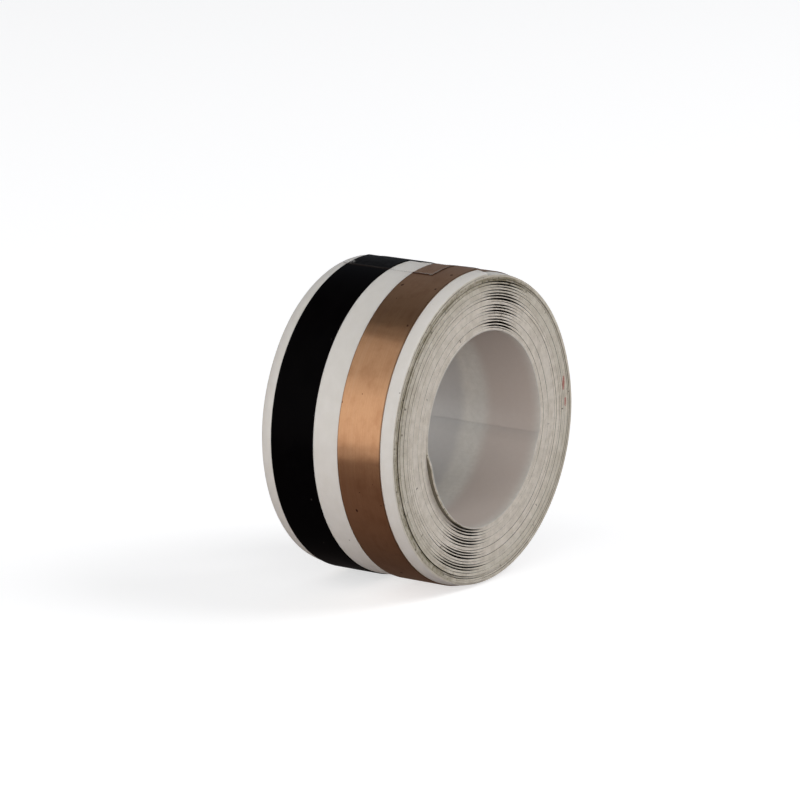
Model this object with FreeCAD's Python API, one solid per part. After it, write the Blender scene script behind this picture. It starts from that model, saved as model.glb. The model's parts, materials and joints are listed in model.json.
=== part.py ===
"""A coreless roll of self-adhesive tape that carries two parallel foil strips, one copper, one black.

Units are millimetres. The roll's axis is Y, the origin is the middle of its bore and +Z is up.
The roll stands on its tread. Angles along the tape are counted from the front of the roll (-X)
over the top (+Z) to the back (+X) and on round, and the tape's radius grows with the angle.
"""

import FreeCAD
import Part
import math
import os

# The tape: a laminate of four layers, wound with its foil outward.
TAPE_WIDTH = 16.0
STRIP_WIDTH = 5.15
EDGE_MARGIN = 1.35
LINER_THICK = 0.095
ADHESIVE_THICK = 0.04
FILM_THICK = 0.06
FOIL_THICK = 0.10

# The winding. Every turn is a true circle until it climbs over the tape's inner end.
BORE_RADIUS = 10.06
PLIES = 21
INNER_END_ANGLE = 193.0
CLIMB_ANGLE = 40.0
FREE_END_START_ANGLE = 20.0
FREE_END_ANGLE = 92.0

# The free end and the tab over it lie loosely on what is under them.
LINER_END_LIFT = 0.03
LAMINATE_END_LIFT = 0.05

# The clear tab that holds the free end down.
TAB_THICK = 0.05
TAB_LIFT = 0.07
TAB_START_ANGLE = 78.0
TAB_END_ANGLE = 112.0
TAB_LOW_Y = -4.0
TAB_HIGH_Y = 7.0

# Worked out from the sizes above.
PITCH = LINER_THICK + ADHESIVE_THICK + FILM_THICK + FOIL_THICK
ROLL_RADIUS = BORE_RADIUS + PLIES * PITCH
LINER_LAYER = (0.0, LINER_THICK)
ADHESIVE_LAYER = (LINER_THICK, LINER_THICK + ADHESIVE_THICK)
FILM_LAYER = (LINER_THICK + ADHESIVE_THICK, PITCH - FOIL_THICK)
FOIL_LAYER = (PITCH - FOIL_THICK, PITCH)
FULL_WIDTH = (-TAPE_WIDTH / 2, TAPE_WIDTH / 2)
COPPER_BAND = (-TAPE_WIDTH / 2 + EDGE_MARGIN, -TAPE_WIDTH / 2 + EDGE_MARGIN + STRIP_WIDTH)
BLACK_BAND = (TAPE_WIDTH / 2 - EDGE_MARGIN - STRIP_WIDTH, TAPE_WIDTH / 2 - EDGE_MARGIN)


def direction(angle):
    """The outward direction at an angle counted from the front over the top."""
    turn = math.radians(angle)
    return FreeCAD.Vector(-math.cos(turn), 0, math.sin(turn))


def winding():
    """The arcs of the liner's inner face: (centre, radius, first angle, last angle) for each.

    A turn climbs by one pitch on two arcs that meet each other and its circles smoothly. Their
    centres lie on either side of the roll's axis, which makes the first arc flatter than the
    circle and the second one tighter.
    """
    axis = FreeCAD.Vector(0, 0, 0)
    shift = PITCH / (2 * (1 - math.cos(math.radians(CLIMB_ANGLE / 2))))
    arcs = []
    for turn in range(PLIES):
        radius = BORE_RADIUS + turn * PITCH
        first = INNER_END_ANGLE + 360.0 * turn
        last = first + 360.0
        climb = last - CLIMB_ANGLE
        middle = last - CLIMB_ANGLE / 2
        arcs.append((axis, radius, first, climb))
        arcs.append((direction(climb) * -shift, radius + shift, climb, middle))
        arcs.append((direction(last) * shift, radius + PITCH - shift, middle, last))
    return arcs


def arc_edge(centre, radius, first, last):
    """An arc through three points at its ends and its middle."""
    points = [centre + direction(angle) * radius for angle in (first, (first + last) / 2, last)]
    return Part.Arc(*points).toShape()


def wound_arcs(start, end, offset):
    """The arcs of the winding between two angles, offset outward from the liner's inner face."""
    return [arc_edge(centre, radius + offset, max(first, start), min(last, end))
            for centre, radius, first, last in winding() if first < end and last > start]


def drawn_out(inner, outer, band):
    """A solid between two chains of edges in the XZ plane, capped at both ends, along the width."""
    caps = [Part.makeLine(inner[end].Vertexes[end].Point, outer[end].Vertexes[end].Point)
            for end in (0, -1)]
    outline = Part.Wire(Part.__sortEdges__(inner + outer + caps))
    outline.translate(FreeCAD.Vector(0, band[0], 0))
    return Part.Face(outline).extrude(FreeCAD.Vector(0, band[1] - band[0], 0))


def wound_layer(start, end, layer, band, lift=0.0):
    """One layer of the tape between two angles, lifted off the winding by a small gap."""
    inner = wound_arcs(start, end, layer[0] + lift)
    outer = wound_arcs(start, end, layer[1] + lift)
    return drawn_out(inner, outer, band)


def hold_down_tab():
    """A clear tab over the tape's end that drops to the ply beneath it in a short straight span."""
    axis = FreeCAD.Vector(0, 0, 0)

    def side(height):
        upper = ROLL_RADIUS + TAB_LIFT + height
        lower = upper - PITCH
        landing = FREE_END_ANGLE + math.degrees(math.acos(lower / upper))
        return [arc_edge(axis, upper, TAB_START_ANGLE, FREE_END_ANGLE),
                Part.makeLine(direction(FREE_END_ANGLE) * upper, direction(landing) * lower),
                arc_edge(axis, lower, landing, TAB_END_ANGLE)]

    return drawn_out(side(0.0), side(TAB_THICK), (TAB_LOW_Y, TAB_HIGH_Y))


def build():
    """Every piece of the roll by name."""
    last_turn = 360.0 * PLIES
    split = last_turn + FREE_END_START_ANGLE
    roll = (INNER_END_ANGLE, split)
    free_end = (split, last_turn + FREE_END_ANGLE)
    pieces = {
        "release_liner_roll": wound_layer(*roll, LINER_LAYER, FULL_WIDTH),
        "release_liner_end": wound_layer(*free_end, LINER_LAYER, FULL_WIDTH, LINER_END_LIFT),
    }
    laminate = {
        "adhesive_layer": (ADHESIVE_LAYER, FULL_WIDTH),
        "carrier_film": (FILM_LAYER, FULL_WIDTH),
        "copper_strip": (FOIL_LAYER, COPPER_BAND),
        "black_strip": (FOIL_LAYER, BLACK_BAND),
    }
    for name, (layer, band) in laminate.items():
        pieces[name + "_roll"] = wound_layer(*roll, layer, band)
        pieces[name + "_end"] = wound_layer(*free_end, layer, band, LAMINATE_END_LIFT)
    pieces["hold_down_tab"] = hold_down_tab()
    return pieces


os.makedirs("parts", exist_ok=True)
for node, solid in build().items():
    solid.exportStep("parts/" + node + ".step")
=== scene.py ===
"""Looks of a coreless roll of self-adhesive tape with a copper and a black foil strip.

The tape is one laminate wound on itself: release liner, adhesive, carrier film and, on the
outside, the two foil strips. Each layer is swept along the winding as its own ribbon, with the
unevenness of a real roll: plies that stand out sideways, margins that droop where no foil backs
them, and a free end under a clear tab. Lengths are millimetres, except in Blender's own settings
and where a comment says metres. Angles are degrees counted from the front (-X) over the top (+Z),
and along the tape they keep growing, turn after turn, from the tape's inner end.
"""
import bpy
import json
import math
import numpy as np
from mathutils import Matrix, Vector


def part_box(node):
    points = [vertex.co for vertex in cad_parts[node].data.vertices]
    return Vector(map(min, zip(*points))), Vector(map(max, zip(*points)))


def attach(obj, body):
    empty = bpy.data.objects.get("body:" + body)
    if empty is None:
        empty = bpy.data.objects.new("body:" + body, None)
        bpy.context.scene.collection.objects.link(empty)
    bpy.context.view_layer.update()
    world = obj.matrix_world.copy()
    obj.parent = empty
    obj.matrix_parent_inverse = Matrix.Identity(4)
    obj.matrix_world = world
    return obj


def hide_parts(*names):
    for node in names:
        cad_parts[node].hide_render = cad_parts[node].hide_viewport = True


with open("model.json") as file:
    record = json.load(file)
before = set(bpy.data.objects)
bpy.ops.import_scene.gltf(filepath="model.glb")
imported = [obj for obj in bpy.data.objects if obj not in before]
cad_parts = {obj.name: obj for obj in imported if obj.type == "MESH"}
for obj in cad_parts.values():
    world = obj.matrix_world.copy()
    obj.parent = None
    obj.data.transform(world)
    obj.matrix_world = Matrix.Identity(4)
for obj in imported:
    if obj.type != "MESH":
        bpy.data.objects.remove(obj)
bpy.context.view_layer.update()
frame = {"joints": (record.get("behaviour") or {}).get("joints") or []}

MM = 0.001
FULL_TURN = 360.0


# ---------------------------------------------------------------- sizes

def low(node, axis):
    """The lowest coordinate of a CAD node along an axis."""
    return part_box(node)[0]["xyz".index(axis)] / MM


def high(node, axis):
    """The highest coordinate of a CAD node along an axis."""
    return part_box(node)[1]["xyz".index(axis)] / MM


def joint_angle(name):
    """The angle of a hinge of the frame."""
    x, _, z = next(j for j in frame["joints"] if j["name"] == name)["pos_m"]
    return math.degrees(math.atan2(z, -x))


# The winding's design, as far as the frame's boxes don't show it.
PLIES = 21
INNER_END = 193.0
CLIMB = 40.0
END_ANGLE = 92.0
TAB_END_ANGLE = 112.0
LINER = 0.095

# From the frame.
ROLL_RADIUS = -low("copper_strip_roll", "z")
FOIL = low("carrier_film_roll", "z") - low("copper_strip_roll", "z")
FILM = low("adhesive_layer_roll", "z") - low("carrier_film_roll", "z")
ADHESIVE = low("release_liner_roll", "z") - low("adhesive_layer_roll", "z")
HALF_WIDTH = high("release_liner_roll", "y")
COPPER_BAND = (low("copper_strip_roll", "y"), high("copper_strip_roll", "y"))
BLACK_BAND = (low("black_strip_roll", "y"), high("black_strip_roll", "y"))
TAB_BAND = (low("hold_down_tab", "y"), high("hold_down_tab", "y"))
SPLIT_ANGLE = joint_angle("lift_free_end")
TAB_ANGLE = joint_angle("lift_tab")

# Worked out from the sizes above.
PITCH = LINER + ADHESIVE + FILM + FOIL
BORE_RADIUS = ROLL_RADIUS - PLIES * PITCH
COPPER_MARGIN = -COPPER_BAND[0]
BLACK_MARGIN = BLACK_BAND[1]
EDGE_MARGIN = HALF_WIDTH - BLACK_MARGIN
LAST_TURN = FULL_TURN * PLIES
WRAP_START = LAST_TURN - 90.0
SPLIT = LAST_TURN + SPLIT_ANGLE
TAPE_END = LAST_TURN + END_ANGLE

# Each layer's outer face stops this short of the next layer, so that no two faces coincide.
CLEARANCE = 0.003
FILM_TOP = PITCH - FOIL - CLEARANCE

# The tab lies this far above the strips, and sags over the bare film between them.
TAB_CLEARANCE = 0.012
TAB_THICK = 0.05
TAB_SAG = 0.04
TAB_SAG_HALF_WIDTH = 1.6


# ---------------------------------------------------------------- the winding's shape

def wave(seed, terms, longest):
    """A smooth random function of an angle, about -1 to 1, from a few sine waves."""
    source = np.random.default_rng(seed)
    periods = longest / source.uniform(1.0, 5.0, terms)
    phases = source.uniform(0.0, 2.0 * math.pi, terms)
    sizes = 1.0 / np.sqrt(longest / periods)
    sizes /= sizes.sum()

    def value(angle):
        angle = np.asarray(angle, float)[..., None]
        return (sizes * np.sin(2.0 * math.pi * angle / periods + phases)).sum(-1)

    return value


def ease(value, first, last):
    """Rises smoothly from 0 at first to 1 at last."""
    t = np.clip((np.asarray(value, float) - first) / (last - first), 0.0, 1.0)
    return t * t * (3.0 - 2.0 * t)


def ply_number(along):
    """How many turns lie under the tape at an angle along it."""
    return (np.asarray(along, float) - INNER_END) / FULL_TURN


def seat_radius(along):
    """The radius that the liner's inner face sits at: circles, each climbing to the next."""
    turn = np.floor(ply_number(along))
    within = along - INNER_END - FULL_TURN * turn
    t = np.clip((within - (FULL_TURN - CLIMB)) / CLIMB, 0.0, 1.0)
    rise = np.where(t < 0.5, 2.0 * t * t, 1.0 - 2.0 * (1.0 - t) ** 2)
    return BORE_RADIUS + PITCH * (turn + rise)


OUT_OF_ROUND = wave(3, 5, 360.0)
SIDE_DRIFT = wave(11, 9, 1500.0)
SIDE_WANDER = wave(12, 9, 420.0)
LOOSENESS = wave(21, 12, 900.0)
NEAR_DROOP = wave(31, 9, 160.0)
FAR_DROOP = wave(32, 9, 160.0)
GROOVES = wave(41, 12, 700.0)

# How far plies leave their ideal radius.
SLACK = 0.018
BULGE_AT_BACK = 0.10
UNROUNDNESS = 0.03

# Plies that stand apart from the next one: (turns under them, extra gap outside them).
LOOSE_PLIES = ((2.6, 0.02), (10.6, 0.03), (16.4, 0.03))

# How far plies leave the roll's sides.
DRIFT = 0.055
WANDER = 0.035
DRIFT_SHIFT = -0.02
OUTER_TILT = 0.16
SETBACK = 0.07
INNER_PUSH = 0.42

# Where the inner end is pushed out in front: (rises from, to) and (falls from, to).
PUSH_RISE = (262.0, 312.0)
PUSH_FALL = (348.0, 358.0)

# How far the tape is pressed thin at its inner end, and over what angle.
INNER_END_SHARE = 0.2
INNER_END_TAPER = 7.0

# Where the bare margins of neighbouring plies stay apart: (angle, how sharply it fades around it).
OPEN_GROOVES = ((104.0, 50.0), (290.0, 34.0))
GROOVE_DEPTH = 0.04
GROOVE_RAGGEDNESS = 2.2
# The grooves start and are fully open this far in from the tape's edge.
GROOVE_INSET = (0.9, 0.3)

# The outermost turns whose margins sink onto the turn below them.
SUNK_TURNS = 3
# What a bare margin can sink or swell by before it meets its neighbour.
MARGIN_GAP = 0.09
# How far every bare margin sinks, and how much that varies: inside, and more on the outer turn.
MARGIN_DROOP = 0.01
RIPPLE = 0.008
NEAR_OUTER_RIPPLE = 0.02
FAR_OUTER_RIPPLE = 0.04
# How far the bare film between the strips sinks on the outer turn.
MIDDLE_DROOP = 0.02
MIDDLE_DROOP_HALF_WIDTH = 1.5


def radial_offset(along):
    """How far the ply sits off its ideal radius: slack inside, outer plies not quite round."""
    turns = ply_number(along)
    slack = ease(turns, 0.0, 1.2) * (1.0 - ease(turns, PLIES - 2.4, PLIES - 1.4))
    offset = SLACK * LOOSENESS(along) * slack
    for turn, gap in LOOSE_PLIES:
        closed = ease(turns, turn - 2.0, turn)
        opened = ease(turns, turn, turn + 1.0)
        closed_again = ease(turns, turn + 1.0, turn + 3.5)
        offset = offset + gap * (opened - 0.5 * closed - 0.5 * closed_again)
    outer = ease(turns, 2.0, PLIES - 2.0)
    bulge = BULGE_AT_BACK * np.maximum(-np.cos(np.radians(along)), 0.0) ** 2
    return offset + outer * (bulge + UNROUNDNESS * OUT_OF_ROUND(along))


def side_offset(along):
    """How far the ply stands out sideways.

    Plies drift a little, the outer ones are tilted, a few under the outermost are set back
    behind it, and the innermost is pushed out in front at the lower left.
    """
    turns = ply_number(along)
    drift = DRIFT * SIDE_DRIFT(along) + WANDER * SIDE_WANDER(along) + DRIFT_SHIFT
    tilt = OUTER_TILT * np.cos(np.radians(along)) * ease(turns, 8.0, PLIES - 1.0)
    pushed = ease(along, *PUSH_RISE) * (1.0 - ease(along, *PUSH_FALL))
    behind = ease(turns, PLIES - 4.6, PLIES - 4.2) * (1.0 - ease(turns, PLIES - 4.0, PLIES - 1.0))
    return drift + tilt + SETBACK * behind - INNER_PUSH * pushed


def droop(along, across):
    """How far the tape's margins sink where no foil backs them, most at their edges."""
    turns = ply_number(along)
    sunk = MARGIN_DROOP + MARGIN_GAP * np.clip(turns - (PLIES - SUNK_TURNS), 0.0, SUNK_TURNS)
    near = np.maximum((-across - COPPER_MARGIN) / EDGE_MARGIN, 0.0) ** 2
    far = np.maximum((across - BLACK_MARGIN) / EDGE_MARGIN, 0.0) ** 2
    middle = np.clip(1.0 - (across / MIDDLE_DROOP_HALF_WIDTH) ** 2, 0.0, 1.0)
    middle_depth = MIDDLE_DROOP * ease(turns, PLIES - 2.0, PLIES - 1.0)
    outermost = ease(turns, PLIES - 1.2, PLIES - 0.4)
    near_depth = sunk + (RIPPLE + NEAR_OUTER_RIPPLE * outermost) * NEAR_DROOP(along)
    far_depth = sunk + (RIPPLE + FAR_OUTER_RIPPLE * outermost) * FAR_DROOP(along)
    return near_depth * near + far_depth * far + middle_depth * middle


def swell(along, across, height):
    """How far a bare margin's faces move out to meet the next ply, and in where the two part."""
    starts, full = GROOVE_INSET
    bare = ease(np.abs(across), HALF_WIDTH - starts, HALF_WIDTH - full)
    covered = np.clip(PLIES - SUNK_TURNS - ply_number(along), 0.0, 1.0)
    gap = sum(np.maximum(np.cos(np.radians(along - angle)), 0.0) ** sharpness
              for angle, sharpness in OPEN_GROOVES)
    opened = np.clip(gap * (1.0 + GROOVE_RAGGEDNESS * GROOVES(along)), 0.0, 1.0)
    outer_rise = MARGIN_GAP - (MARGIN_GAP + GROOVE_DEPTH) * opened
    inner_rise = np.where(height < CLEARANCE, GROOVE_DEPTH * opened, 0.0)
    return np.where(height > FILM_TOP - CLEARANCE, outer_rise, inner_rise) * bare * covered


def thinned(along, height):
    """The height above the liner's inner face, the inner end being pressed thin and outward."""
    rise = ease(along, INNER_END, INNER_END + INNER_END_TAPER)
    share = INNER_END_SHARE + (1.0 - INNER_END_SHARE) * rise
    return PITCH - (PITCH - height) * share


def floor_limit(along):
    """The radius at which a point of the roll would touch the floor."""
    down = np.maximum(-np.sin(np.radians(along)), 1e-6)
    return ROLL_RADIUS / down


def roll_place(radius, angle, across):
    """A place, in metres, from its distance and angle round the axis and its place along it."""
    turn = np.radians(angle)
    return np.stack([-radius * np.cos(turn), across, radius * np.sin(turn)], -1) * MM


def tape_point(along, across, height):
    """The place, in metres, of a point of the tape at a height above the liner's inner face."""
    radius = seat_radius(along) + radial_offset(along) + thinned(along, height)
    radius = radius + swell(along, across, height) - droop(along, across)
    return roll_place(np.minimum(radius, floor_limit(along)), along, across + side_offset(along))


# ---------------------------------------------------------------- meshes

SHARP_ANGLE = 35.0
# How far from an end the ribbon has extra rings.
END_RINGS = (0.15, 0.3, 0.6)


def new_mesh(name, points, faces):
    """A smooth-shaded mesh object whose sharp corners stay sharp."""
    mesh = bpy.data.meshes.new(name)
    mesh.from_pydata([tuple(p) for p in points], [], faces)
    mesh.validate()
    mesh.shade_smooth()
    mesh.set_sharp_from_angle(angle=math.radians(SHARP_ANGLE))
    piece = bpy.data.objects.new(name, mesh)
    bpy.context.scene.collection.objects.link(piece)
    return piece


def loft(name, rings, ring_uv, ring_depth):
    """A capped solid through rings of points, with tape coordinates and ply depth on it.

    rings is (count, points a ring, 3) in metres, ring_uv the tape coordinates in millimetres,
    and ring_depth the number of plies outside each ring.
    """
    count, size = rings.shape[:2]
    first = np.arange(count - 1)[:, None] * size + np.arange(size)[None, :]
    following = np.arange(count - 1)[:, None] * size + (np.arange(size)[None, :] + 1) % size
    sides = np.stack([first, following, following + size, first + size], -1).reshape(-1, 4)
    faces = sides.tolist()
    faces.append(list(range(size - 1, -1, -1)))
    faces.append(list(range((count - 1) * size, count * size)))
    piece = new_mesh(name, rings.reshape(-1, 3), faces)
    mesh = piece.data
    corners = np.empty(len(mesh.loops), np.int32)
    mesh.loops.foreach_get("vertex_index", corners)
    layer = mesh.uv_layers.new(name="tape")
    layer.data.foreach_set("uv", ring_uv.reshape(-1, 2)[corners].astype(np.float32).ravel())
    depth = mesh.attributes.new("plies_outside", "FLOAT", "POINT")
    depth.data.foreach_set("value", np.repeat(ring_depth, size).astype(np.float32))
    return piece


def stations(start, end, step, fine_ends=()):
    """Angles from start to end, closer together next to the ends named in fine_ends."""
    angles = list(np.linspace(start, end, max(2, int(round((end - start) / step)) + 1)))
    for place in fine_ends:
        near = [place + side * away for side in (-1, 1) for away in END_RINGS]
        angles += [a for a in near if start < a < end]
    return np.array(sorted(set(np.round(angles, 4))))


def ribbon(name, start, end, section, step, fine_ends=()):
    """One layer of the tape between two angles along it, swept from its cross-section.

    section is the closed outline, as (across, height above the liner's inner face).
    """
    along = stations(start, end, step, fine_ends)
    across = np.array([p[0] for p in section])
    height = np.array([p[1] for p in section])
    grid_along, grid_across = np.meshgrid(along, across, indexing="ij")
    grid_height = np.broadcast_to(height, grid_along.shape)
    rings = tape_point(grid_along, grid_across, grid_height)
    arc = np.radians(grid_along) * 0.5 * (BORE_RADIUS + ROLL_RADIUS)
    uv = np.stack([arc, grid_across], -1)
    depth = (TAPE_END - along) / FULL_TURN
    return loft(name, rings, uv, depth)


def spaced(first, last, count):
    """Evenly spaced numbers as a list."""
    return [float(v) for v in np.linspace(first, last, count)]


def sheet_section(bottom, top, fine):
    """The outline of a full-width layer, with points close together at its margins."""
    rim = HALF_WIDTH
    if fine:
        inset = 0.06
        round_off = 0.4 * (top - bottom)
        across = spaced(-rim + inset, -COPPER_MARGIN, 8)
        across += spaced(COPPER_BAND[1], BLACK_BAND[0], 7)
        across += spaced(BLACK_MARGIN, rim - inset, 8)
    else:
        round_off = 0.0
        starts, full = GROOVE_INSET
        across = [-rim + full, -rim + starts, -COPPER_MARGIN, BLACK_MARGIN, rim - starts, rim - full]
    lower = [(y, bottom) for y in [-rim] + across + [rim]]
    upper = [(y, top) for y in reversed(across)]
    return lower + [(rim, top - round_off)] + upper + [(-rim, top - round_off)]


def strip_section(bottom, top, band):
    """The outline of a foil strip, its outer corners rounded off as slitting leaves them."""
    first, last = band
    burr = 0.025
    return [(first, bottom), (last, bottom), (last, top - burr), (last - burr, top),
            (first + burr, top), (first, top - burr)]


# Layers from the bore outward: (bottom, top) above the liner's inner face.
LAYERS = {
    "release_liner": (0.0, LINER - CLEARANCE),
    "adhesive_layer": (LINER, LINER + ADHESIVE - CLEARANCE),
    "carrier_film": (LINER + ADHESIVE, FILM_TOP),
    "copper_strip": (PITCH - FOIL, PITCH - CLEARANCE),
    "black_strip": (PITCH - FOIL, PITCH - CLEARANCE),
}
STRIP_BANDS = {"copper_strip": COPPER_BAND, "black_strip": BLACK_BAND}


def layer_section(layer, fine):
    """The outline of a named layer."""
    bottom, top = LAYERS[layer]
    if layer in STRIP_BANDS:
        return strip_section(bottom, top, STRIP_BANDS[layer])
    return sheet_section(bottom, top, fine)


# ---------------------------------------------------------------- node trees

def rgb(red, green, blue):
    """A colour as a socket takes it."""
    return (red, green, blue, 1.0)


class Nodes:
    """A node tree, with short ways to add and join nodes."""

    def __init__(self, tree):
        self.tree = tree

    def add(self, kind, inputs=None, **settings):
        """A node with its settings; inputs maps a socket to a number, colour or output."""
        node = self.tree.nodes.new("ShaderNode" + kind)
        for key, value in settings.items():
            setattr(node, key, value)
        for key, value in (inputs or {}).items():
            self.plug(node.inputs[key], value)
        return node

    def plug(self, socket, value):
        """Joins an output to a socket, or sets the socket's own number or colour."""
        if isinstance(value, bpy.types.NodeSocket):
            self.tree.links.new(value, socket)
        else:
            socket.default_value = value

    def math(self, operation, a, b=0.0, c=0.0):
        """The output of a Math node."""
        return self.add("Math", {0: a, 1: b, 2: c}, operation=operation).outputs[0]

    def product(self, first, *others):
        """Several numbers multiplied."""
        for other in others:
            first = self.math("MULTIPLY", first, other)
        return first

    def highest(self, first, *others):
        """The highest of several numbers."""
        for other in others:
            first = self.math("MAXIMUM", first, other)
        return first

    def ramp(self, value, first, last, low_value=0.0, high_value=1.0):
        """value eased from low_value at first to high_value at last."""
        node = self.add("MapRange", {0: value, 1: first, 2: last, 3: low_value, 4: high_value},
                        interpolation_type="SMOOTHSTEP")
        return node.outputs[0]

    def mix(self, factor, a, b):
        """Two colours mixed by a factor."""
        return self.add("Mix", {0: factor, 6: a, 7: b}, data_type="RGBA").outputs[2]

    def vector(self, x, y, z=0.0):
        """A texture coordinate."""
        return self.add("CombineXYZ", {0: x, 1: y, 2: z}).outputs[0]

    def noise(self, vector, scale, detail=3.0, roughness=0.55):
        """The output of a Noise texture, 0 to 1."""
        node = self.add("TexNoise", {"Vector": vector, "Scale": scale, "Detail": detail,
                                     "Roughness": roughness})
        return node.outputs[0]

    def specks(self, vector, scale, size, share):
        """Small dots of differing size, 1 inside: a share of a Voronoi texture's cells holds one."""
        cells = self.add("TexVoronoi", {"Vector": vector, "Scale": scale, "Randomness": 1.0},
                         voronoi_dimensions="2D")
        chosen, larger, _ = self.add("SeparateXYZ", {0: cells.outputs["Color"]}).outputs
        radius = self.math("MULTIPLY_ADD", larger, size, 0.4 * size)
        dot = self.ramp(self.math("DIVIDE", cells.outputs["Distance"], radius), 1.0, 0.6)
        return self.product(dot, self.math("LESS_THAN", chosen, share))


class Surface(Nodes):
    """A material's nodes around its Principled shader."""

    def __init__(self, name, **constants):
        self.material = bpy.data.materials.new(name)
        self.material.use_nodes = True
        super().__init__(self.material.node_tree)
        self.shader = self.tree.nodes["Principled BSDF"]
        for socket, value in constants.items():
            self.set(socket.replace("_", " "), value)

    def set(self, socket, value):
        """Gives one of the shader's sockets an output or a number."""
        self.plug(self.shader.inputs[socket], value)

    def bump(self, height, distance, strength=1.0):
        """Raises the surface's normal by a height texture, distance in metres."""
        node = self.add("Bump", {"Height": height, "Distance": distance, "Strength": strength})
        self.set("Normal", node.outputs[0])


class TapeSurface(Surface):
    """A material of a piece that has tape coordinates, along and across, in millimetres."""

    def __init__(self, name, **constants):
        super().__init__(name, **constants)
        uv = self.add("UVMap", uv_map="tape").outputs[0]
        self.along, self.across, _ = self.add("SeparateXYZ", {0: uv}).outputs

    def tape_noise(self, along_scale, across_scale, detail=3.0, roughness=0.55):
        """Noise on the tape, finer along or across it as the scales say."""
        place = self.vector(self.product(self.along, along_scale),
                            self.product(self.across, across_scale))
        return self.noise(place, 1.0, detail, roughness)

    def tape_specks(self, scale, size, share):
        """Dots on the tape."""
        return self.specks(self.vector(self.along, self.across), scale, size, share)

    def plies_outside(self):
        """How many plies lie outside this point."""
        return self.add("Attribute", attribute_name="plies_outside").outputs["Fac"]

    def object_place(self):
        """The point's place on the object, in millimetres."""
        place = self.add("TexCoord").outputs["Object"]
        return self.add("VectorMath", {0: place, 3: 1.0 / MM}, operation="SCALE").outputs[0]


# ---------------------------------------------------------------- materials of the strips

def copper_material():
    """Bare copper foil, brushed along the tape, dulled in patches and dotted with dust."""
    s = TapeSurface("copper_foil", Metallic=1.0, Anisotropic=0.9, Anisotropic_Rotation=0.25)
    brushing = s.tape_noise(0.10, 11.0, 5.0, 0.7)
    streaks = s.tape_noise(0.05, 1.8, 2.0)
    patches = s.tape_noise(0.55, 0.55, 4.0, 0.6)
    cloud = s.tape_noise(2.6, 2.6, 3.0, 0.6)
    grain = s.tape_noise(2.5, 5.0, 3.0, 0.7)
    waves = s.tape_noise(0.32, 0.06, 2.0)

    brushed = s.mix(s.ramp(brushing, 0.25, 0.8), rgb(0.475, 0.255, 0.135), rgb(0.560, 0.325, 0.178))
    grained = s.mix(s.ramp(grain, 0.40, 0.75, 0.0, 0.30), brushed, rgb(0.420, 0.225, 0.125))
    dulled = s.mix(s.ramp(patches, 0.42, 0.75), grained, rgb(0.430, 0.222, 0.114))
    streaked = s.mix(s.ramp(streaks, 0.5, 0.8, 0.0, 0.35), dulled, rgb(0.530, 0.325, 0.198))
    ragged = s.math("MULTIPLY_ADD", cloud, 0.5, s.across)
    specks = s.specks(s.vector(s.along, ragged), 1.1, 0.14, 0.055)
    stained = s.mix(s.product(specks, 0.85), streaked, rgb(0.10, 0.035, 0.015))
    # Both edges of the strip are painted darker.
    dark_edges = s.highest(s.ramp(s.across, COPPER_BAND[0] + 0.15, COPPER_BAND[0] + 0.05),
                     s.ramp(s.across, COPPER_BAND[1] - 0.15, COPPER_BAND[1] - 0.05))
    s.set("Base Color", s.mix(s.product(dark_edges, 0.65), stained, rgb(0.190, 0.115, 0.070)))

    s.set("Tangent", s.add("Tangent", direction_type="UV_MAP", uv_map="tape").outputs[0])
    rough = s.math("ADD", s.ramp(brushing, 0.2, 0.8, 0.38, 0.44), s.ramp(cloud, 0.3, 0.8, 0.0, 0.06))
    s.set("Roughness", s.math("MULTIPLY_ADD", specks, 0.3, rough))
    scratches = s.math("MULTIPLY_ADD", cloud, 0.0008, s.product(brushing, 0.002))
    s.bump(s.math("MULTIPLY_ADD", waves, 0.09, scratches), MM)
    return s.material


def black_material():
    """Black coated foil: smooth and semi-gloss, with faint handling marks."""
    s = TapeSurface("black_foil", Specular_IOR_Level=0.012)
    rolling = s.tape_noise(0.12, 7.0, 4.0, 0.65)
    smears = s.tape_noise(0.5, 0.5, 4.0, 0.6)
    smeared = s.mix(s.ramp(smears, 0.3, 0.8), rgb(0.0007, 0.0005, 0.0006), rgb(0.0014, 0.0011, 0.0012))
    dust = s.product(s.tape_specks(0.8, 0.06, 0.05), 0.5)
    s.set("Base Color", s.mix(dust, smeared, rgb(0.05, 0.045, 0.04)))
    rough = s.math("ADD", s.ramp(rolling, 0.2, 0.8, 0.30, 0.36), s.ramp(smears, 0.35, 0.8, 0.0, 0.08))
    s.set("Roughness", rough)
    s.bump(s.math("MULTIPLY_ADD", smears, 0.5, rolling), 0.000003, 0.4)
    return s.material


# ---------------------------------------------------------------- ply edges on the roll's faces

def rim_darkening(s):
    """Darker ply edges on the faces, 0 none to 1 full: a band next to the outermost ply, stronger to
    the front and top, and painted shade on the innermost ply's edge.
    """
    depth = s.plies_outside()
    band = s.product(s.ramp(depth, 0.7, 1.6), s.ramp(depth, 5.2, 3.2, 0.22, 1.0),
                     s.ramp(depth, 11.0, 8.0))
    # Painted shade on the edge of the innermost ply, where it is pushed out in front of the rest.
    inner = s.product(s.ramp(depth, 20.2, 20.3), s.ramp(depth, 20.62, 20.45))
    blotch = s.noise(s.vector(s.product(s.along, 0.8), depth, s.across), 1.1, 5.0, 0.65)
    fine = s.noise(s.vector(s.along, s.product(depth, 2.0), s.across), 3.4, 3.0, 0.7)
    broken = s.math("ADD", s.ramp(blotch, 0.36, 0.62, 0.3, 0.85), s.ramp(fine, 0.5, 0.7, 0.0, 0.4))
    x, _, z = s.add("SeparateXYZ", {0: s.object_place()}).outputs
    front = s.ramp(s.math("MULTIPLY_ADD", z, -0.5, x), 6.0, -3.0, 0.18, 1.0)
    edge = s.ramp(s.math("ABSOLUTE", s.across), HALF_WIDTH - 0.05, HALF_WIDTH - 0.01)
    return s.product(edge, s.highest(band, inner), front, broken)


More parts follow.
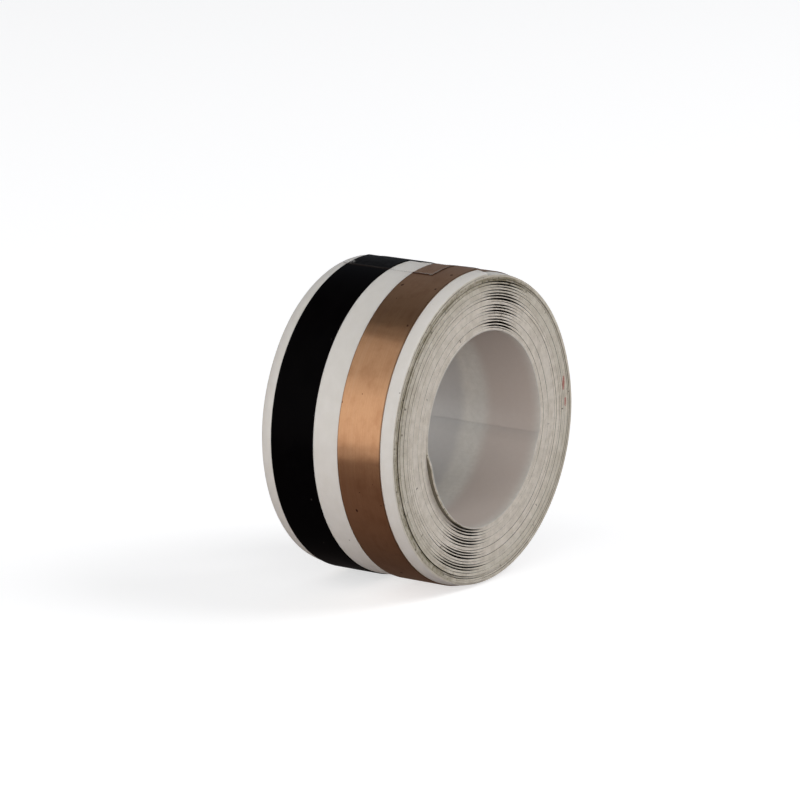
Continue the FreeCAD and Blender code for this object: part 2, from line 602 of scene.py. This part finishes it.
def ink_spot(s, place, radius, angle, size):
    """A small tall blot of ink on the near face, at a radius and angle: 0.8 inside it, else 0."""
    turn = math.radians(angle)
    centre = (-radius * math.cos(turn), -HALF_WIDTH, radius * math.sin(turn))
    tall = (2.2, 1.0, 0.6)
    apart = s.add("VectorMath", {0: place, 1: centre}, operation="SUBTRACT").outputs[0]
    stretched = s.add("VectorMath", {0: apart, 1: tall}, operation="MULTIPLY").outputs[0]
    away = s.add("VectorMath", {0: stretched}, operation="LENGTH").outputs["Value"]
    blot = s.noise(place, 4.0, 3.0, 0.7)
    return s.ramp(s.math("MULTIPLY_ADD", blot, size, away), size * 1.25, size * 0.9, 0.0, 0.8)


def face_colour(s):
    """The beige ply edges of the roll's faces, with specks, a darker band with painted shade at the
    innermost ply, grit and two spots of ink.
    """
    place = s.object_place()
    depth = s.plies_outside()
    mottle = s.ramp(s.noise(place, 1.3, 4.0, 0.6), 0.3, 0.7)
    outer = s.mix(mottle, rgb(0.575, 0.523, 0.437), rgb(0.700, 0.650, 0.558))
    middle = s.mix(mottle, rgb(0.620, 0.562, 0.478), rgb(0.760, 0.695, 0.605))
    beige = s.mix(s.ramp(depth, 5.5, 11.0), outer, middle)
    unrolled = s.vector(s.along, s.product(depth, PITCH))
    specks = s.product(s.specks(unrolled, 1.3, 0.13, 0.05), 0.75)
    speckled = s.mix(specks, beige, rgb(0.10, 0.08, 0.055))
    # A darker band on the outer plies' edges, with painted shade on the innermost ply's edge.
    darkening = rim_darkening(s)
    darkened = s.mix(darkening, speckled, rgb(0.225, 0.196, 0.123))
    grit = s.product(s.specks(unrolled, 2.4, 0.28, 0.30), darkening)
    gritty = s.mix(grit, darkened, rgb(0.030, 0.025, 0.018))
    ink = s.highest(ink_spot(s, place, 14.6, 171.5, 0.75), ink_spot(s, place, 14.8, 179.5, 0.5))
    return s.mix(ink, gritty, rgb(0.42, 0.09, 0.07))


def with_ply_edge(s, colour):
    """A layer's colour, with painted shade in the grooves between covered plies, and the face's colour
    on the rim.
    """
    width = s.math("ABSOLUTE", s.across)
    depth = s.plies_outside()
    groove_shade_mask = s.product(s.ramp(width, HALF_WIDTH - 1.5, HALF_WIDTH - 1.2), s.ramp(depth, 0.98, 1.02))
    shallow = s.highest(s.ramp(depth, 4.5, 2.5), s.ramp(depth, 19.4, 19.6))
    # Painted shade in the grooves between plies, lighter near the outside and near the bore.
    groove_shade = s.mix(shallow, rgb(0.060, 0.051, 0.036), rgb(0.135, 0.117, 0.085))
    rim = s.ramp(width, HALF_WIDTH - 0.03, HALF_WIDTH - 0.005)
    return s.mix(rim, s.mix(groove_shade_mask, colour, groove_shade), face_colour(s))


# ---------------------------------------------------------------- materials of the backing

def film_material():
    """White carrier film: satin, slightly cloudy, with a little dust, painted shade in the grooves
    between plies and the faces' darkened colour at the rim.
    """
    s = TapeSurface("carrier_film", Roughness=0.42, Specular_IOR_Level=0.42, Subsurface_Weight=0.35,
                    Subsurface_Scale=0.0004, Subsurface_Radius=(1.0, 0.9, 0.75))
    cloud = s.tape_noise(0.8, 0.8, 4.0, 0.6)
    grain = s.tape_noise(7.0, 7.0, 2.0, 0.6)
    white = s.mix(s.ramp(cloud, 0.3, 0.75), rgb(0.618, 0.582, 0.526), rgb(0.648, 0.612, 0.560))
    dust = s.product(s.tape_specks(0.7, 0.06, 0.05), 0.7)
    s.set("Base Color", with_ply_edge(s, s.mix(dust, white, rgb(0.12, 0.10, 0.075))))
    s.bump(s.math("MULTIPLY_ADD", grain, 0.3, cloud), 0.00002, 0.35)
    return s.material


def adhesive_material():
    """Clear acrylic adhesive, amber with grime picked up where it meets the air, and painted shade in
    the grooves between plies.
    """
    s = TapeSurface("adhesive", Roughness=0.5, Specular_IOR_Level=0.4)
    mottle = s.noise(s.vector(s.along, s.across, s.plies_outside()), 1.4, 4.0, 0.6)
    amber = s.mix(s.ramp(mottle, 0.3, 0.7), rgb(0.42, 0.39, 0.33), rgb(0.50, 0.47, 0.41))
    s.set("Base Color", with_ply_edge(s, amber))
    return s.material


def band_mask(s, first, last, blur):
    """1 between two places across the tape, fading out over a blur."""
    return s.product(s.ramp(s.across, first - blur, first + blur),
                     s.ramp(s.across, last + blur, last - blur))


def liner_material():
    """Glassine release liner: off-white, and the strips show through it in soft bands."""
    s = TapeSurface("release_liner", Roughness=0.36, Specular_IOR_Level=0.45, Subsurface_Weight=0.25,
                    Subsurface_Scale=0.0003, Subsurface_Radius=(1.0, 0.9, 0.8))
    fibres = s.tape_noise(1.6, 1.6, 5.0, 0.65)
    cloud = s.tape_noise(0.35, 0.35, 3.0, 0.5)
    paper = s.mix(s.ramp(fibres, 0.3, 0.7), rgb(0.545, 0.520, 0.470), rgb(0.610, 0.585, 0.535))
    cloudy = s.mix(s.ramp(cloud, 0.35, 0.7, 0.0, 0.35), paper, rgb(0.50, 0.485, 0.455))
    copper = s.product(band_mask(s, COPPER_BAND[0] - 0.9, COPPER_BAND[1], 0.9), 0.8)
    black = s.product(band_mask(s, BLACK_BAND[0], BLACK_BAND[1], 0.7), 0.7)
    tinted = s.mix(copper, cloudy, rgb(0.455, 0.385, 0.345))
    banded = s.mix(black, tinted, rgb(0.400, 0.388, 0.380))
    bore_wall = s.ramp(s.plies_outside(), PLIES - 1.4, PLIES - 1.3)
    s.set("Base Color", s.mix(bore_wall, with_ply_edge(s, banded), banded))
    s.bump(fibres, 0.00002, 0.3)
    return s.material


# ---------------------------------------------------------------- material of the tab

def tab_edge_shade(s):
    """Painted shade along the tab's edges: 1 on its front and near edges and half that on its far one,
    broken up by noise.
    """
    line = 0.19
    outer = line * 0.6
    inner = line * 1.6
    near = s.ramp(s.across, TAB_BAND[0] + inner, TAB_BAND[0] + outer)
    far = s.ramp(s.across, TAB_BAND[1] - inner, TAB_BAND[1] - outer)
    front = s.ramp(s.along, inner, outer)
    edge_variation = s.tape_noise(2.0, 2.0, 3.0, 0.6)
    return s.product(s.highest(near, s.product(far, 0.5), front), s.ramp(edge_variation, 0.2, 0.5, 0.55, 1.0))


def clear_material():
    """Clear film of the hold-down tab: dark lines of painted shade along its edges, a painted glare
    near its front end, a faint haze.

    The lines and the haze show over the copper and hardly over the rest.
    """
    s = TapeSurface("clear_film", Roughness=0.5, Specular_IOR_Level=0.02)
    haze = s.tape_noise(1.3, 1.3, 4.0, 0.6)
    glare_breakup = s.tape_noise(3.2, 3.2, 3.0, 0.7)
    # Dark lines of painted shade along the tab's edges.
    edge = tab_edge_shade(s)
    # A grey painted glare near the tab's front end on its far side, where its gloss catches the light.
    glare_corner = s.product(s.ramp(s.across, TAB_BAND[1] - 1.1, TAB_BAND[1] - 0.3),
                       s.ramp(s.along, 1.6, 0.5))
    painted_glare = s.product(glare_corner, s.ramp(glare_breakup, 0.48, 0.62))
    clear = s.mix(painted_glare, rgb(0.62, 0.60, 0.56), rgb(0.80, 0.80, 0.80))
    s.set("Base Color", s.mix(edge, clear, rgb(0.052, 0.024, 0.013)))

    copper_end = COPPER_BAND[1]
    line = s.product(edge, s.ramp(s.across, copper_end + 0.15, copper_end - 0.15, 0.08, 0.92))
    film = s.product(s.ramp(s.across, copper_end + 0.3, copper_end - 0.3, 0.12, 1.0),
                     s.ramp(haze, 0.3, 0.8, 0.0, 0.03))
    s.set("Alpha", s.highest(line, s.product(painted_glare, 0.5), film))
    s.bump(haze, 0.00001, 0.3)
    return s.material


# ---------------------------------------------------------------- the tape's pieces

MATERIALS = {
    "release_liner": liner_material(),
    "adhesive_layer": adhesive_material(),
    "carrier_film": film_material(),
    "copper_strip": copper_material(),
    "black_strip": black_material(),
}
INNER_STEP = 2.5
OUTER_STEP = 1.0


def finish_piece(piece, layer, body):
    """Gives a layer's piece its material and body."""
    piece.data.materials.append(MATERIALS[layer])
    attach(piece, body)


def build_layer(layer):
    """A layer in three pieces: inner turns, the outer wrap in front, and the free end."""
    coarse = layer_section(layer, False)
    fine = layer_section(layer, True)
    winding = ribbon(layer + "_winding", INNER_END, WRAP_START, coarse, INNER_STEP)
    wrap = ribbon(layer + "_wrap", WRAP_START, SPLIT, fine, OUTER_STEP, fine_ends=(SPLIT,))
    end = ribbon(layer + "_free_end", SPLIT, TAPE_END, fine, OUTER_STEP, fine_ends=(SPLIT,))
    finish_piece(winding, layer, "roll")
    finish_piece(wrap, layer, "roll")
    finish_piece(end, layer, "liner_end" if layer == "release_liner" else "tape_end")
    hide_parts(layer + "_roll")
    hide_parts(layer + "_end")


for layer_name in LAYERS:
    build_layer(layer_name)


# ---------------------------------------------------------------- the hold-down tab

def tab_seat(angle):
    """The radius that the tab lies on: the strips' tops, then straight down to the ply below."""
    lower = ROLL_RADIUS - PITCH
    landing = END_ANGLE + math.degrees(math.acos(lower / ROLL_RADIUS))
    if angle <= END_ANGLE:
        return ROLL_RADIUS
    if angle >= landing:
        return lower
    return lower / math.cos(math.radians(landing - angle))


def build_tab():
    """A clear tab that follows the strips' tops, then drops past the tape's end."""
    over_tape = np.linspace(TAB_ANGLE, END_ANGLE, 15)
    past_tape = np.linspace(END_ANGLE, TAB_END_ANGLE, 25)[1:]
    angles = np.concatenate([over_tape, past_tape])
    across = np.linspace(TAB_BAND[0], TAB_BAND[1], 23)
    sag = TAB_SAG * np.clip(1.0 - (across / TAB_SAG_HALF_WIDTH) ** 2, 0.0, 1.0)
    under = TAB_CLEARANCE - sag
    ring_height = np.concatenate([under, under[::-1] + TAB_THICK])
    ring_across = np.concatenate([across, across[::-1]])
    grid_angle, grid_across = np.meshgrid(angles, ring_across, indexing="ij")
    radius = np.array([tab_seat(angle) for angle in angles])[:, None] + ring_height
    rings = roll_place(radius, grid_angle, grid_across)
    uv = np.stack([np.radians(grid_angle - TAB_ANGLE) * ROLL_RADIUS, grid_across], -1)
    tab = loft("clear_tab", rings, uv, np.zeros(len(angles)))
    tab.data.materials.append(clear_material())
    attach(tab, "tab")
    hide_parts("hold_down_tab")


build_tab()


# ---------------------------------------------------------------- floor, light and camera

def build_floor():
    """A plain pale floor that the roll stands on. It stays out of reflections in the foil."""
    half = 2000.0 * MM
    level = -ROLL_RADIUS * MM
    corners = [(-half, -half, level), (half, -half, level), (half, half, level), (-half, half, level)]
    floor = new_mesh("floor", corners, [(0, 1, 2, 3)])
    s = Surface("floor", Roughness=0.9, Specular_IOR_Level=0.1, Base_Color=rgb(0.55, 0.55, 0.55),
                Emission_Color=rgb(1.0, 1.0, 1.0), Emission_Strength=0.62)
    floor.data.materials.append(s.material)
    floor.visible_glossy = False
    floor.visible_diffuse = False
    floor.visible_shadow = False


def build_world():
    """White behind the object; dim for what it reflects, brighter behind it and warmer below."""
    world = bpy.data.worlds.new("studio")
    bpy.context.scene.world = world
    world.use_nodes = True
    sky = Nodes(world.node_tree)
    way = sky.add("SeparateXYZ", {0: sky.add("TexCoord").outputs["Generated"]})
    back, up = way.outputs["X"], way.outputs["Z"]
    above = sky.mix(sky.ramp(back, 0.0, 0.45), rgb(0.150, 0.150, 0.155), rgb(0.250, 0.265, 0.300))
    below = sky.mix(sky.ramp(back, -0.6, 0.25), rgb(0.240, 0.190, 0.180), rgb(0.120, 0.100, 0.095))
    dim = sky.mix(sky.ramp(up, -0.1, 0.1), below, above)
    seen = sky.add("LightPath").outputs["Is Camera Ray"]
    sky.plug(sky.tree.nodes["Background"].inputs["Color"], sky.mix(seen, dim, rgb(1.0, 1.0, 1.0)))


def look_rotation(back):
    """Euler angles of a camera or lamp whose back points along a direction."""
    return Vector(back).to_track_quat("Z", "Y").to_euler()


def panel(name, place, size, brightness, aim=(0.0, 0.0, 0.0), reflected=True):
    """A rectangular light at a place, facing a point, all in metres. A larger one is no dimmer."""
    width, height = size
    data = bpy.data.lights.new(name, "AREA")
    data.shape = "RECTANGLE"
    data.size = width
    data.size_y = height
    data.energy = brightness * math.pi * width * height
    lamp = bpy.data.objects.new(name, data)
    lamp.location = place
    lamp.rotation_euler = look_rotation(Vector(place) - Vector(aim))
    lamp.visible_glossy = reflected
    bpy.context.scene.collection.objects.link(lamp)


def build_lights():
    """Two long boxes in front that the foil mirrors, and fills from the side, below and above."""
    middle = (0.0, 0.05, 0.0)
    panel("front_box", (-0.69, 0.05, 0.115), (1.5, 0.58), 1.5, aim=middle)
    panel("upper_box", (-0.45, 0.05, 0.536), (1.5, 0.455), 0.85, aim=middle)
    panel("side_box", (-0.43, -0.66, 0.115), (0.6, 0.37), 1.8)
    panel("low_box", (-0.55, -0.15, -0.25), (0.8, 0.4), 0.65, reflected=False)
    panel("top_box", (0.45, -0.55, 0.62), (0.5, 0.5), 6.2, reflected=False)


CAMERA_AZIMUTH = -55.13
CAMERA_ELEVATION = 12.97
CAMERA_DISTANCE = 509.5
CAMERA_RIGHT = -1.943
CAMERA_UP = 1.903


def build_camera():
    """A long lens that looks along the viewing direction, its axis a little beside the origin."""
    azimuth = math.radians(CAMERA_AZIMUTH)
    elevation = math.radians(CAMERA_ELEVATION)
    back = np.array([math.sin(azimuth) * math.cos(elevation),
                     -math.cos(azimuth) * math.cos(elevation), math.sin(elevation)])
    right = np.array([math.cos(azimuth), math.sin(azimuth), 0.0])
    up = np.cross(back, right)
    data = bpy.data.cameras.new("camera")
    data.lens = 225.0
    data.sensor_width = 36.0
    data.clip_start = 0.01
    data.clip_end = 20.0
    camera = bpy.data.objects.new("camera", data)
    camera.location = (CAMERA_DISTANCE * back + CAMERA_RIGHT * right + CAMERA_UP * up) * MM
    camera.rotation_euler = look_rotation(back)
    bpy.context.scene.collection.objects.link(camera)
    bpy.context.scene.camera = camera


build_floor()
build_world()
build_lights()
build_camera()
bpy.context.scene.view_settings.view_transform = "Standard"

bpy.context.view_layer.update()
